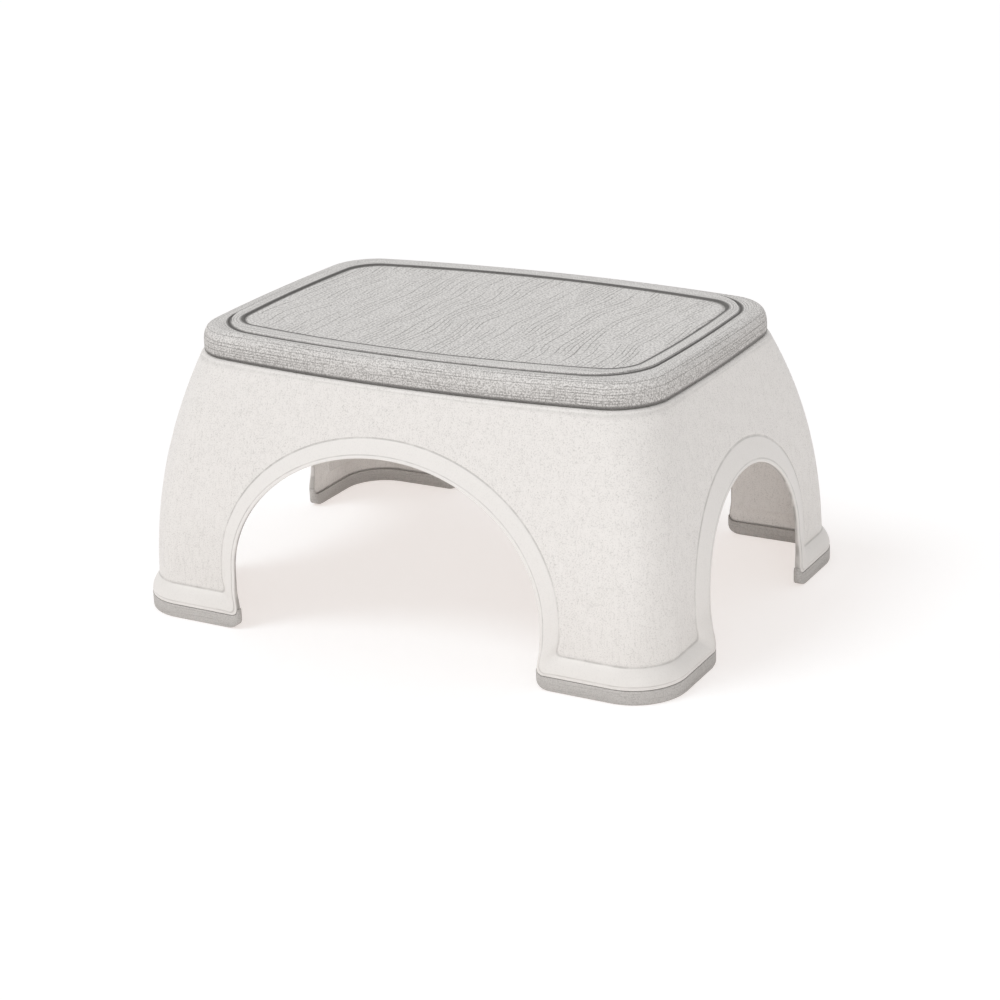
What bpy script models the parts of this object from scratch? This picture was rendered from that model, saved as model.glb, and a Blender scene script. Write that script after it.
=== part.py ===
# Toddler step stool: a moulded shell on four legs, a soft tread cover and four rubber shoes.
# Metres, +Z up. X runs along the stool and Y across it, the front faces -Y, and Z = 0 is the floor.
# Every ring of points starts in the middle of the front and goes round by the right-hand end.

import math
from collections import namedtuple

import bmesh
import bpy

# Driving sizes of the whole stool
overall_height = 0.205
foot_length = 0.428
foot_width = 0.319
foot_corner_radius = 0.038
tread_length = 0.362
tread_width = 0.220
tread_corner_radius = 0.032
tread_side_bow = 0.015
tread_end_bow = 0.004

# Soft tread cover
tread_thickness = 0.003
tread_edge_height = 0.0198
tread_skirt_height = 0.004
tread_shoulder_run = 0.0098
tread_shoulder_rise = 0.0148
tread_shoulder_power = 2.8
tread_border_step_run = 0.0012
tread_panel_inset = 0.0244
tread_panel_corner_radius = 0.019
tread_panel_depth = 0.0009
tread_panel_edge_run = 0.001

# Plugs under the tread that snap through the deck
plug_radius = 0.0037
plug_head_radius = 0.0055
plug_head_height = 0.004
plug_tip_radius = 0.002
plug_spacing_x = 0.085
plug_spacing_y = 0.092
plug_column_count = 4
plug_row_count = 2
plug_nose_share = 0.75
plug_chamfer_share = 0.25

# Moulded shell
wall_thickness = 0.003
wall_curve_power = 2.35
seat_ledge = 0.0012
seat_ledge_round = 0.0024
edge_round = 0.0007

# Arches between the legs
front_arch_width = 0.2455
front_arch_height = 0.139
side_arch_width = 0.151
side_arch_height = 0.1155
arch_spring_height = 0.044
arch_toe = 0.0016
arch_lip_flare = 0.0036
front_lip_width = 0.013
side_lip_width = 0.018
arch_lip_power = 1.2

# Flared rim round the foot of each leg
foot_lip_flare = 0.0058
foot_lip_height = 0.014
foot_rim_thickness = 0.005
foot_blend_height = 0.032
foot_lip_power = 2.2
foot_end_round = 0.0045
foot_crease_round = 0.003

# Rubber shoes and the tongues of the shell that they grip
shoe_height = 0.010
shoe_width = 0.007
shoe_wrap = 0.0016
shoe_edge_round = 0.001
shoe_nose_run = 0.0062
shoe_nose_height = 0.0085
tongue_thickness = 0.0022
tongue_inset = 0.0026
tongue_depth = 0.0062
tongue_root = 0.002
tongue_end_margin = 0.0065

# Stiffening ribs under the deck
rib_thickness = 0.002
cross_rib_depth = 0.012
cross_rib_spacing = 0.085
cross_rib_count = 3
long_rib_depth = 0.0135
long_rib_spacing = 0.046
long_rib_count = 2

# Running values
seat_gap = 0.0003
cut_overrun = 0.002

# How far round a quarter of the plan its front side ends and its right-hand end begins
front_end_share = 0.48
side_start_share = 0.67

# Steps along each stretch of a quarter
crown_steps = 7
leg_steps = 2
end_round_steps = 2
foot_steps = 7
wall_steps = 5
shoulder_steps = 4
plug_steps = 10

# Shares of the lip width at which its rings lie, from the rim to the crease
outer_lip_shares = (0.3, 0.6, 0.84, 1)
inner_lip_shares = (0.5, 1)
inner_wall_shares = (0.35, 0.7, 1)
top_spread_share = 0.5
# How far out each section of a shoe's tip lies, how wide it is and how far its top has risen
shoe_tip_shares = ((1, 0.45, 0.3), (0.75, 0.8, 0.83))

# Colour, roughness and metallic value of each material
shell_finish = ((0.80, 0.775, 0.75, 1), 0.42, 0)
tread_finish = ((0.62, 0.60, 0.58, 1), 0.78, 0)
shoe_finish = ((0.50, 0.485, 0.47, 1), 0.72, 0)

# Sizes that follow from the driving ones
tread_seat_height = overall_height - tread_edge_height
shoulder_base = tread_seat_height + tread_skirt_height
panel_height = overall_height - tread_panel_depth
deck_depth = tread_thickness + seat_gap
foot_edge_height = shoe_height + seat_gap
foot_crease_height = foot_edge_height + foot_lip_height

Outline = namedtuple("Outline", "half_length half_width corner side_bow end_bow")
EdgePoint = namedtuple("EdgePoint", "side along height crease_along crease_height")

tread_outline = Outline(
    tread_length / 2, tread_width / 2, tread_corner_radius, tread_side_bow, tread_end_bow
)
foot_outline = Outline(
    foot_length / 2 - foot_lip_flare,
    foot_width / 2 - foot_lip_flare,
    foot_corner_radius - foot_lip_flare,
    0,
    0,
)


def mix(start, end, share):
    return start + (end - start) * share


def smooth(share):
    share = min(max(share, 0), 1)
    return share * share * (3 - 2 * share)


def grown(outline, reach):
    # The same plan moved out by reach all round
    return Outline(
        outline.half_length + reach,
        outline.half_width + reach,
        outline.corner + reach,
        outline.side_bow,
        outline.end_bow,
    )


def wall_outline(height):
    # The wall spreads like a bell from the tread's seat down to the feet
    top = grown(tread_outline, seat_ledge)
    fall = 1 - (min(height, tread_seat_height) / tread_seat_height) ** wall_curve_power
    return Outline(*(mix(high, low, fall) for high, low in zip(top, foot_outline)))


def quarter_point(outline, travel, height):
    # Travel runs from 0 in the middle of the front to 1 in the middle of the right-hand end
    straight_x = outline.half_length - outline.corner
    straight_y = outline.half_width - outline.corner
    if travel <= front_end_share:
        x = straight_x * travel / front_end_share
        y = outline.half_width
    elif travel < side_start_share:
        turn = math.pi / 2 * (travel - front_end_share) / (side_start_share - front_end_share)
        x = straight_x + outline.corner * math.sin(turn)
        y = straight_y + outline.corner * math.cos(turn)
    else:
        x = outline.half_length
        y = straight_y * (1 - travel) / (1 - side_start_share)
    bowed_x = x + outline.end_bow * (1 - (y / outline.half_width) ** 2)
    bowed_y = y + outline.side_bow * (1 - (x / outline.half_length) ** 2)
    return (bowed_x, -bowed_y, height)


def front_travel(x, height):
    outline = wall_outline(height)
    return front_end_share * x / (outline.half_length - outline.corner)


def side_travel(y, height):
    outline = wall_outline(height)
    return 1 - (1 - side_start_share) * y / (outline.half_width - outline.corner)


def full_ring(quarter):
    # Mirrors a quarter's points into a closed ring
    right_rear = [(x, -y, z) for x, y, z in reversed(quarter[:-1])]
    right = quarter + right_rear
    left = [(-x, y, z) for x, y, z in reversed(right[1:-1])]
    return right + left


def arch_side(side, half_width, crown_height, lip_width):
    # Edge of one half arch from its crown down to the foot, and the crease of the lip beside it
    edge = []
    rise = crown_height - arch_spring_height
    for step in range(crown_steps):
        turn = math.pi / 2 * step / crown_steps
        out_along = math.sin(turn) / half_width
        out_height = math.cos(turn) / rise
        scale = lip_width / math.hypot(out_along, out_height)
        along = half_width * math.sin(turn)
        height = arch_spring_height + rise * math.cos(turn)
        crease = (along + out_along * scale, height + out_height * scale)
        edge.append(EdgePoint(side, along, height, *crease))
    for step in range(leg_steps):
        share = step / leg_steps
        height = mix(arch_spring_height, foot_edge_height + foot_end_round, share)
        crease_height = mix(arch_spring_height, foot_crease_height + foot_crease_round, share)
        along = half_width - toe(height)
        edge.append(EdgePoint(side, along, height, along + lip_width, crease_height))
    corner = half_width - arch_toe
    for step in range(end_round_steps + 1):
        turn = math.pi / 2 * step / end_round_steps
        across, down = 1 - math.cos(turn), 1 - math.sin(turn)
        along = corner + foot_end_round * across
        height = foot_edge_height + foot_end_round * down
        crease_along = corner + lip_width + foot_crease_round * across
        crease_height = foot_crease_height + foot_crease_round * down
        edge.append(EdgePoint(side, along, height, crease_along, crease_height))
    return edge


def toe(height):
    above = height - foot_edge_height - foot_end_round
    return arch_toe * (1 - smooth(above / foot_lip_height))


def edge_travel(point, share):
    # Travel and height of the ring that lies this share of the way from the edge to the crease
    along = mix(point.along, point.crease_along, share)
    height = mix(point.height, point.crease_height, share)
    if point.side == "front":
        return front_travel(along, height), height
    return side_travel(along, height), height


def lip_ring(share):
    # Travel and height of every point of a quarter ring, and the height of the edge below it
    front = arch_side("front", front_arch_width / 2, front_arch_height, front_lip_width)
    side = arch_side("side", side_arch_width / 2, side_arch_height, side_lip_width)
    left = [edge_travel(point, share) for point in front]
    right = [edge_travel(point, share) for point in reversed(side)]
    foot = []
    for step in range(1, foot_steps):
        travel = mix(left[-1][0], right[0][0], step / foot_steps)
        foot.append((travel, mix(foot_edge_height, foot_crease_height, share)))
    level = [foot_edge_height] * len(foot)
    edge_heights = [p.height for p in front] + level + [p.height for p in reversed(side)]
    return left + foot + right, edge_heights


def lip_reach(edge_height, share):
    # How far the lip stands out of the wall, and how thick it is there
    blend = smooth((edge_height - foot_edge_height) / foot_blend_height)
    flare = mix(foot_lip_flare, arch_lip_flare, blend)
    power = mix(foot_lip_power, arch_lip_power, blend)
    rim = mix(foot_rim_thickness, wall_thickness, blend)
    return flare * (1 - share ** power), mix(rim, wall_thickness, share)


def lip_wall_ring(share, depth_share, inward=0):
    # Ring on the lip, from its outer face at depth share 0 to its inner face at depth share 1
    places, edge_heights = lip_ring(share)
    quarter = []
    for (travel, height), edge_height in zip(places, edge_heights):
        reach, thickness = lip_reach(edge_height, share)
        side_inward = inward if depth_share == 0 else -inward
        outline = grown(wall_outline(height), reach - thickness * depth_share - side_inward)
        quarter.append(quarter_point(outline, travel, height))
    return full_ring(quarter)


def top_travels():
    places, _ = lip_ring(1)
    last = len(places) - 1
    return [mix(travel, index / last, top_spread_share) for index, (travel, _) in enumerate(places)]


def upper_wall_ring(share, depth):
    # Ring between the crease of the lip and the top of the wall
    places, _ = lip_ring(1)
    quarter = []
    for (travel, height), top_travel in zip(places, top_travels()):
        ring_travel = mix(travel, top_travel, share)
        ring_height = mix(height, tread_seat_height - seat_ledge_round, share)
        outline = grown(wall_outline(ring_height), -depth)
        quarter.append(quarter_point(outline, ring_travel, ring_height))
    return full_ring(quarter)


def deck_ring(inset, height, travels):
    # The corners get tighter over the shoulder and keep their radius round the flat of the top
    outline = grown(tread_outline, -inset)
    outline = outline._replace(corner=max(outline.corner, tread_panel_corner_radius))
    return full_ring([quarter_point(outline, travel, height) for travel in travels])


def shoulder_profile(depth):
    # Insets and heights over the edge of the deck, this deep below the tread's outer face
    points = [(depth, shoulder_base)]
    for step in range(1, shoulder_steps + 1):
        turn = math.pi / 2 * step / shoulder_steps
        across = math.cos(turn) ** (2 / tread_shoulder_power)
        up = math.sin(turn) ** (2 / tread_shoulder_power)
        inset = tread_shoulder_run - (tread_shoulder_run - depth) * across
        points.append((inset, shoulder_base + (tread_shoulder_rise - depth) * up))
    return points


def deck_profile(depth):
    # The same, with the flat of the deck behind it
    return shoulder_profile(depth) + [(tread_panel_inset + tread_panel_edge_run, panel_height - depth)]


def ring_faces(mesh, verts, points):
    # Extrudes a closed ring of edges and moves each new point to its place
    count = len(verts)
    edges = [mesh.edges.get((verts[i], verts[(i + 1) % count])) for i in range(count)]
    made = bmesh.ops.extrude_edge_only(mesh, edges=edges)["geom"]
    fresh = {item for item in made if isinstance(item, bmesh.types.BMVert)}
    ring = []
    for vert, point in zip(verts, points):
        twin = next(e.other_vert(vert) for e in vert.link_edges if e.other_vert(vert) in fresh)
        twin.co = point
        ring.append(twin)
    return ring


def lofted(name, rings):
    # Closed body through a list of rings, with a flat face on the first and the last
    mesh = bmesh.new()
    verts = [mesh.verts.new(point) for point in rings[0]]
    mesh.faces.new(verts)
    for points in rings[1:]:
        verts = ring_faces(mesh, verts, points)
    mesh.faces.new(verts)
    bmesh.ops.recalc_face_normals(mesh, faces=mesh.faces[:])
    return new_object(name, mesh)


def new_object(name, mesh):
    data = bpy.data.meshes.new(name)
    mesh.to_mesh(data)
    mesh.free()
    thing = bpy.data.objects.new(name, data)
    bpy.context.scene.collection.objects.link(thing)
    return thing


def as_tool(thing):
    thing.hide_render = True
    thing.display_type = "WIRE"
    return thing


def combine(thing, tool, operation):
    modifier = thing.modifiers.new(tool.name, "BOOLEAN")
    modifier.operation = operation
    modifier.solver = "EXACT"
    modifier.object = as_tool(tool)


def finished(thing, finish):
    colour, roughness, metallic = finish
    material = bpy.data.materials.new(thing.name)
    material.use_nodes = True
    shader = material.node_tree.nodes["Principled BSDF"]
    shader.inputs["Base Color"].default_value = colour
    shader.inputs["Roughness"].default_value = roughness
    shader.inputs["Metallic"].default_value = metallic
    thing.data.materials.append(material)
    thing.data.shade_smooth()
    thing.data.set_sharp_from_angle(angle=math.radians(40))
    return thing


def shell_rings():
    # From the middle of the deck over the edge, down the outside, round the rim and up the inside
    travels = top_travels()
    deck = [deck_ring(inset, height, travels) for inset, height in deck_profile(deck_depth)]
    rings = deck[::-1]
    rings.append(deck_ring(deck_depth, tread_seat_height, travels))
    round_turns = (90, 45, 0)
    for degrees in round_turns:
        turn = math.radians(degrees)
        inset = seat_ledge_round * (1 - math.cos(turn)) - seat_ledge
        height = tread_seat_height - seat_ledge_round * (1 - math.sin(turn))
        rings.append(deck_ring(inset, height, travels))
    for step in range(1, wall_steps):
        rings.append(upper_wall_ring(1 - step / wall_steps, 0))
    for share in reversed(outer_lip_shares):
        rings.append(lip_wall_ring(share, 0))
    rim_share = edge_round / front_lip_width
    rings.append(lip_wall_ring(rim_share, 0))
    rings.append(lip_wall_ring(0, 0, edge_round))
    rings.append(lip_wall_ring(0, 1, edge_round))
    rings.append(lip_wall_ring(rim_share, 1))
    for share in inner_lip_shares:
        rings.append(lip_wall_ring(share, 1))
    for share in inner_wall_shares:
        rings.append(upper_wall_ring(share, wall_thickness))
    for inset, height in deck_profile(deck_depth + wall_thickness):
        rings.append(deck_ring(inset, height, travels))
    return rings


def extruded(name, outline, offset):
    # Prism from a flat outline pushed along the offset
    mesh = bmesh.new()
    base = mesh.faces.new([mesh.verts.new(point) for point in outline])
    made = bmesh.ops.extrude_face_region(mesh, geom=[base])["geom"]
    moved = [item for item in made if isinstance(item, bmesh.types.BMVert)]
    bmesh.ops.translate(mesh, vec=offset, verts=moved)
    bmesh.ops.recalc_face_normals(mesh, faces=mesh.faces[:])
    return new_object(name, mesh)


def rib_section(half_span, depth):
    # Outline of a rib that ends inside the shoulder of the deck, as across and height
    middle = deck_depth + wall_thickness / 2
    bottom = panel_height - deck_depth - wall_thickness - depth
    right = [(half_span - inset, height) for inset, height in deck_profile(middle)]
    right.insert(0, (half_span - middle, bottom))
    left = [(-across, height) for across, height in reversed(right)]
    return right + left


def cross_rib(place):
    bow = tread_side_bow * (1 - (place / tread_outline.half_length) ** 2)
    section = rib_section(tread_outline.half_width + bow, cross_rib_depth)
    outline = [(place - rib_thickness / 2, y, z) for y, z in section]
    return extruded("cross_rib", outline, (rib_thickness, 0, 0))


def long_rib(place):
    bow = tread_end_bow * (1 - (place / tread_outline.half_width) ** 2)
    section = rib_section(tread_outline.half_length + bow, long_rib_depth)
    outline = [(x, place - rib_thickness / 2, z) for x, z in section]
    return extruded("long_rib", outline, (0, rib_thickness, 0))


def spread(count, spacing):
    return [spacing * (index - (count - 1) / 2) for index in range(count)]


def foot_ends(margin):
    # Travels at both ends of a foot, short of each arch edge by the margin or past it
    front = front_travel(front_arch_width / 2 - arch_toe + margin, foot_edge_height)
    side = side_travel(side_arch_width / 2 - arch_toe + margin, foot_edge_height)
    return front, side


def foot_middle():
    # Travels round the bend of a foot and halfway along the straight on each side of it
    front, side = foot_ends(foot_end_round)
    bend_steps = foot_steps - 1
    bend = [mix(front_end_share, side_start_share, step / bend_steps) for step in range(bend_steps + 1)]
    return [mix(front, front_end_share, 1 / 2), *bend, mix(side_start_share, side, 1 / 2)]


def foot_bar(name, stations, mirror_x, mirror_y):
    # Bar that follows the plan of a foot; each station is a travel with its own section
    base = wall_outline(foot_edge_height)
    rings = []
    for travel, section in stations:
        ring = [quarter_point(grown(base, reach), travel, height) for reach, height in section]
        rings.append([(x * mirror_x, y * -mirror_y, z) for x, y, z in ring])
    return lofted(name, rings)


def tongue(mirror_x, mirror_y, clearance=0):
    # Tongue of the shell, or with a clearance the groove that takes it
    outer = foot_lip_flare - tongue_inset + clearance
    inner = foot_lip_flare - tongue_inset - tongue_thickness - clearance
    bottom = foot_edge_height - tongue_depth - clearance
    top = foot_edge_height + (cut_overrun if clearance else tongue_root)
    section = [(outer, bottom), (outer, top), (inner, top), (inner, bottom)]
    start, end = foot_ends(tongue_end_margin - clearance)
    stations = [(travel, section) for travel in (start, *foot_middle(), end)]
    return foot_bar("tongue", stations, mirror_x, mirror_y)


def nose_rise(margin):
    # The underside of a shoe curves up to the nose at each end, like the runner of a sledge
    short = max(1 - (margin + shoe_wrap) / shoe_nose_run, 0)
    return shoe_nose_height * (1 - math.sqrt(1 - short ** 2))


def shoe_section(width_share, low, top):
    middle = foot_lip_flare - shoe_width / 2
    half = shoe_width / 2 * width_share
    edge = min(shoe_edge_round, half / 2, (top - low) / 2)
    return [
        (middle + half - edge, low),
        (middle + half, low + edge),
        (middle + half, top - edge / 2),
        (middle + half - edge / 2, top),
        (middle - half + edge / 2, top),
        (middle - half, top - edge / 2),
        (middle - half, low + edge),
        (middle - half + edge, low),
    ]


def shoe_end():
    # Margins and sections at one end, from the tip that climbs past the arch edge to the level top
    radius = foot_end_round + seat_gap
    tip_top = foot_edge_height + foot_end_round
    end = []
    for far, width, risen in shoe_tip_shares:
        margin = -shoe_wrap * far
        top = mix(shoe_nose_height, tip_top, risen)
        end.append((margin, shoe_section(width, nose_rise(margin), top)))
    for step in range(end_round_steps + 1):
        turn = math.pi / 2 * step / end_round_steps
        margin = foot_end_round - radius * math.cos(turn)
        top = tip_top - radius * math.sin(turn)
        end.append((margin, shoe_section(1, nose_rise(margin), top)))
    return end


def shoe(name, mirror_x, mirror_y):
    # Grooved shoe that follows the foot and climbs a little round both ends of it
    end = shoe_end()
    stations = [(foot_ends(margin)[0], section) for margin, section in end]
    stations += [(travel, shoe_section(1, 0, shoe_height)) for travel in foot_middle()]
    stations += [(foot_ends(margin)[1], section) for margin, section in reversed(end)]
    thing = foot_bar(name, stations, mirror_x, mirror_y)
    combine(thing, tongue(mirror_x, mirror_y, seat_gap), "DIFFERENCE")
    return finished(thing, shoe_finish)


def turned(name, profile, places):
    # Bodies of revolution about Z, one at each place; the profile runs as radius and height
    mesh = bmesh.new()
    for x, y in places:
        verts = [mesh.verts.new((x + radius, y, height)) for radius, height in profile]
        edges = [mesh.edges.new(pair) for pair in zip(verts, verts[1:])]
        bmesh.ops.spin(
            mesh,
            geom=verts + edges,
            cent=(x, y, 0),
            axis=(0, 0, 1),
            angle=math.tau,
            steps=plug_steps,
            use_merge=True,
        )
    loose_ends = [edge for edge in mesh.edges if edge.is_boundary]
    bmesh.ops.holes_fill(mesh, edges=loose_ends, sides=0)
    bmesh.ops.recalc_face_normals(mesh, faces=mesh.faces[:])
    return new_object(name, mesh)


def plug_places():
    columns = spread(plug_column_count, plug_spacing_x)
    rows = spread(plug_row_count, plug_spacing_y)
    return [(x, y) for x in columns for y in rows]


def deck_holes():
    radius = plug_radius + seat_gap
    top = panel_height - deck_depth + cut_overrun
    bottom = panel_height - deck_depth - wall_thickness - cut_overrun
    return turned("deck_holes", [(radius, bottom), (radius, top)], plug_places())


def tread_plugs():
    underside = panel_height - tread_thickness
    head_top = underside - seat_gap - wall_thickness - seat_gap
    head_base = head_top - plug_head_height
    chamfer = plug_head_height * plug_chamfer_share
    profile = [
        (plug_tip_radius, head_base),
        (mix(plug_tip_radius, plug_head_radius, plug_nose_share), head_base + chamfer),
        (plug_head_radius, head_top - chamfer),
        (plug_head_radius, head_top),
        (plug_radius, head_top),
        (plug_radius, underside + tread_thickness / 2),
    ]
    return turned("tread_plugs", profile, plug_places())


def make_shell():
    shell = lofted("body_shell", shell_rings())
    for mirror_x in (-1, 1):
        for mirror_y in (-1, 1):
            combine(shell, tongue(mirror_x, mirror_y), "UNION")
    for place in spread(cross_rib_count, cross_rib_spacing):
        combine(shell, cross_rib(place), "UNION")
    for place in spread(long_rib_count, long_rib_spacing):
        combine(shell, long_rib(place), "UNION")
    combine(shell, deck_holes(), "DIFFERENCE")
    return finished(shell, shell_finish)


def tread_rings():
    travels = top_travels()
    outer = [(edge_round, tread_seat_height + seat_gap)]
    outer.append((0, tread_seat_height + seat_gap + edge_round))
    outer += shoulder_profile(0)
    outer.append((tread_shoulder_run + tread_border_step_run, overall_height))
    outer.append((tread_panel_inset, overall_height))
    outer.append((tread_panel_inset + tread_panel_edge_run, panel_height))
    inner = [(tread_thickness, tread_seat_height + seat_gap)] + deck_profile(tread_thickness)
    return [deck_ring(inset, height, travels) for inset, height in outer[::-1] + inner]


def make_tread():
    tread = lofted("tread", tread_rings())
    combine(tread, tread_plugs(), "UNION")
    return finished(tread, tread_finish)


def make_stool():
    make_shell()
    make_tread()
    for end, mirror_y in (("front", -1), ("rear", 1)):
        for side, mirror_x in (("left", -1), ("right", 1)):
            shoe(f"foot_{end}_{side}", mirror_x, mirror_y)


for old in list(bpy.data.objects):
    bpy.data.objects.remove(old)
make_stool()
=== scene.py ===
import math
from collections import namedtuple

import bmesh
import bpy
from mathutils import Matrix, Vector


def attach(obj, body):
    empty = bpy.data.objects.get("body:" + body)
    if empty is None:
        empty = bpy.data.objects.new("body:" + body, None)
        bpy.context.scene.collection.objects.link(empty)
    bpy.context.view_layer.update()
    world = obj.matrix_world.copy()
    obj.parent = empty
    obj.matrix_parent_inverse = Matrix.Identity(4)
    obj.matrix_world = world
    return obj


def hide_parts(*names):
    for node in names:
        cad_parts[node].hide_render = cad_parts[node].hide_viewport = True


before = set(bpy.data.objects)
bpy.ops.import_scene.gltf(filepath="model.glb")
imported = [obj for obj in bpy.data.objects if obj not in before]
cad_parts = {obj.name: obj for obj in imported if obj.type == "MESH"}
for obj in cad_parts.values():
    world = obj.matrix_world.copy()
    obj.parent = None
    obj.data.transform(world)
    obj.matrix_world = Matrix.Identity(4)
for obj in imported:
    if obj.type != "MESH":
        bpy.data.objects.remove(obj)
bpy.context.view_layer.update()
print("frame loaded:", sorted(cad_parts))

# Metres, +Z up; X runs along the stool and the front faces -Y
sharpAngle = math.radians(38)
weldDistance = 0.00001

plan = {
    "height": 0.205,
    "seat": 0.1852,  # where the tread's skirt stands on the shell
    # Outlines: half length, half width, corner radius, bow of the ends, bow of the sides
    "tread": (0.181, 0.110, 0.032, 0.004, 0.015),
    "foot": (0.2082, 0.1537, 0.0322, 0, 0),
    "ledge": 0.0012,  # how far the shell stands out past the tread
    "wallPower": 2.35,  # the higher, the more of its spreading the wall does near the top
    "frontEnd": 0.48,  # share of a quarter where the front turns into the corner
    "sideStart": 0.67,  # and where the corner turns into the end
}


def mix(low, high, share):
    return low + (high - low) * share


def smooth(share):
    share = min(max(share, 0), 1)
    return share * share * (3 - 2 * share)


def grow(outline, reach):
    halfX, halfY, corner, bowX, bowY = outline
    return halfX + reach, halfY + reach, corner + reach, bowX, bowY


def wallOutline(height):  # the wall spreads like a bell from the seat to the feet
    top = grow(plan["tread"], plan["ledge"])
    fall = 1 - (min(height, plan["seat"]) / plan["seat"]) ** plan["wallPower"]
    return tuple(mix(high, low, fall) for high, low in zip(top, plan["foot"]))


def quarterPoint(outline, travel, height):
    # Travel 0 is the middle of the front and 1 the middle of the right-hand end
    halfX, halfY, corner, bowX, bowY = outline
    straightX, straightY = halfX - corner, halfY - corner
    if travel <= plan["frontEnd"]:
        x, y = straightX * travel / plan["frontEnd"], halfY
    elif travel < plan["sideStart"]:
        turn = math.pi / 2 * (travel - plan["frontEnd"]) / (plan["sideStart"] - plan["frontEnd"])
        x, y = straightX + corner * math.sin(turn), straightY + corner * math.cos(turn)
    else:
        x, y = halfX, straightY * (1 - travel) / (1 - plan["sideStart"])
    return x + bowX * (1 - (y / halfY) ** 2), -y - bowY * (1 - (x / halfX) ** 2), height


def fullRing(quarter):  # mirrored into a closed ring that starts in the middle of the rear
    rightRear = [(x, -y, z) for x, y, z in reversed(quarter[:-1])]
    right = quarter + rightRear
    left = [(-x, y, z) for x, y, z in reversed(right[1:-1])]
    return right[-1:] + left + right[:-1]


def quarterTurn(steps):  # angles from 0 to a right angle
    return [math.pi / 2 * step / steps for step in range(steps + 1)]


def newPiece(name, bm):
    mesh = bpy.data.meshes.new(name)
    bm.to_mesh(mesh)
    bm.free()
    piece = bpy.data.objects.new(name, mesh)
    bpy.context.scene.collection.objects.link(piece)
    return piece


def loft(name, rings, gauge=0):
    # A ring of edges is extruded from place to place and closed at both ends
    # The UV map runs round the piece and over its profile, in metres, the latter measured at the gauge point
    bm = bmesh.new()
    count = len(rings[0])
    verts = bmesh.ops.create_circle(bm, segments=count, radius=1, cap_ends=True)["verts"]
    around = [0]
    for here, there in zip(rings[0], rings[0][1:] + rings[0][:1]):
        around.append(around[-1] + math.dist(here, there))
    over = 0
    place = {}
    for index, points in enumerate(rings):
        if index:
            edges = [bm.edges.get((verts[i], verts[(i + 1) % count])) for i in range(count)]
            made = bmesh.ops.extrude_edge_only(bm, edges=edges)["geom"]
            fresh = {item for item in made if isinstance(item, bmesh.types.BMVert)}
            verts = [next(e.other_vert(v) for e in v.link_edges if e.other_vert(v) in fresh) for v in verts]
            over += math.dist(rings[index - 1][gauge], points[gauge])
        for step, (vert, point) in enumerate(zip(verts, points)):
            vert.co = point
            place[vert] = step, over
    bm.faces.new(verts)
    bmesh.ops.recalc_face_normals(bm, faces=bm.faces[:])
    layer = bm.loops.layers.uv.new("along")
    for face in bm.faces:
        steps = [place[loop.vert][0] for loop in face.loops]
        onSeam = len(steps) == 4 and max(steps) - min(steps) > 1
        for loop, step in zip(face.loops, steps):
            loop[layer].uv = around[count if onSeam and step == 0 else step], place[loop.vert][1]
    return newPiece(name, bm)


def combine(piece, tool, operation, overlapping=False):
    # Boolean, run once, after which the tool is gone
    modifier = piece.modifiers.new(tool.name, "BOOLEAN")
    modifier.operation = operation
    modifier.solver = "EXACT"
    modifier.use_self = overlapping
    modifier.object = tool
    bpy.context.view_layer.update()
    mesh = bpy.data.meshes.new_from_object(piece.evaluated_get(bpy.context.evaluated_depsgraph_get()))
    old = piece.data
    piece.modifiers.clear()
    piece.data = mesh
    bpy.data.meshes.remove(old)
    bpy.data.objects.remove(tool)
    return piece


def joined(name, pieces):  # one object from several, each a closed body of its own
    bm = bmesh.new()
    for piece in pieces:
        bm.from_mesh(piece.data)
        bpy.data.objects.remove(piece)
    return newPiece(name, bm)


def finished(piece, nodes, finish):
    piece.data.shade_smooth()
    piece.data.set_sharp_from_angle(angle=sharpAngle)
    piece.data.materials.clear()
    piece.data.materials.append(finish)
    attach(piece, "root")
    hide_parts(*nodes)
    print("made", piece.name, len(piece.data.polygons), "faces")
    return piece


# The shell's lower edge, with the arches, the ends of the feet and the lips beside them
arches = {
    "front": (0.12275, 0.139, 0.013),  # half width, crown, width of the lip
    "side": (0.0755, 0.1155, 0.018),
    "spring": 0.044,  # height at which the arch turns into the straight edges of the legs
    "toe": 0.0016,  # how far a foot reaches into the arch
    "endRound": 0.0045,  # how round the end of a foot is, at the rim and at the crease
    "creaseRound": 0.003,
    "crownSteps": 34,
    "legSteps": 10,
    "endSteps": 8,
    "footSteps": 34,
    "fan": (0.42, 0.52, 0.62, 0.695),  # travels at the top of the wall, over the ends of the crowns and legs
}
shell = {
    "wall": 0.003,
    "archFlare": 0.0036,  # the lip round an arch: how far it stands out, how it swells, how round its edge is
    "archPower": 1.2,
    "archRound": 0.0011,
    "footEdge": 0.0103,  # height of the foot's lower edge, and of the lip above it
    "footLip": 0.014,
    "footFlare": 0.0058,
    "footPower": 2.2,
    "footRim": 0.005,  # how thick the wall is there
    "footRound": 0.0005,
    "innerRound": 0.0006,
    "blendHeight": 0.032,  # over this height the foot's lip turns into the arch's
    "creaseSoftness": 0.05,
    "creaseGroove": (0.0009, 0.0003),  # half its width, depth
    "ledgeRound": 0.0024,
    "bead": (0.0026, 0.0004, 0.00045),  # fine step all along the rim: distance from the edge, run, depth
    "beadOnArch": 0.6,  # share of its depth that is left there
    "holeReach": (0.002, 0.005),  # how far the plugs' holes are cut below and above the deck's underside
    "bendRound": 0.001,  # where the ledge meets the inside of the tread's edge
}
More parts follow.
